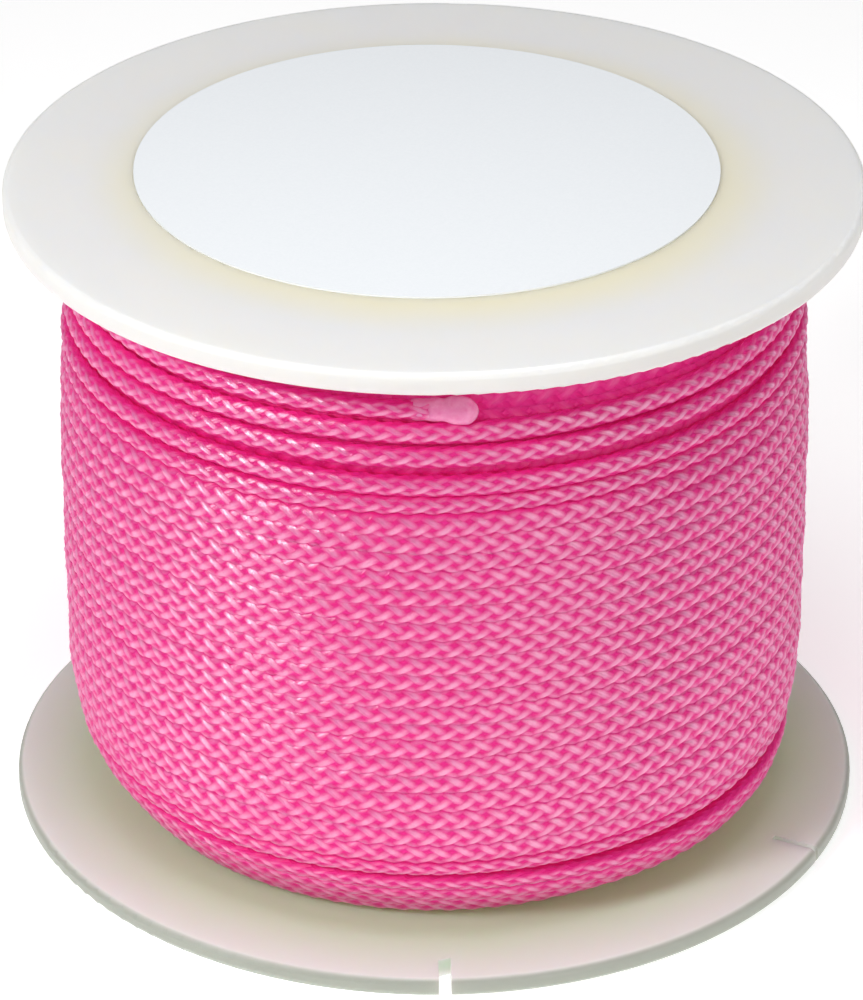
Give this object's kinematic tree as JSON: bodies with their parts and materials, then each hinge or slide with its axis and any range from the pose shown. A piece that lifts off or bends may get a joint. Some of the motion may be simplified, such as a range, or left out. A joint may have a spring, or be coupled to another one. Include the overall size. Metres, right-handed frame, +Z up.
{
  "type": "spool of braided line",
  "caption": "Round flanged spool with an axle bore, wound with braided line to a crowned pack, with a blank label on the upper flange.",
  "frame": {"origin": "centre of the lower flange's outer face, on the spool's axis", "axes": "+Z up along the spool's axis; the notch in the lower flange faces -Y, the slit is on the +X side"},
  "size_m": [0.0814, 0.0814, 0.0641],
  "materials": {
    "natural_polypropylene": "satin moulded, slightly translucent natural white",
    "label_paper": "smooth coated paper",
    "braided_line": "hot pink braided filament with a soft sheen",
    "melted_line": "melted and hardened end of the line"
  },
  "bodies": {
    "root": {"lower_flange": "natural_polypropylene", "upper_flange": "natural_polypropylene", "barrel": "natural_polypropylene", "hub_tube": "natural_polypropylene", "top_label": "label_paper", "line_inner_layers": "braided_line", "line_outer_layer": "braided_line", "line_end_tip": "melted_line", "line_start_knot": "braided_line"}
  },
  "joints": []
}
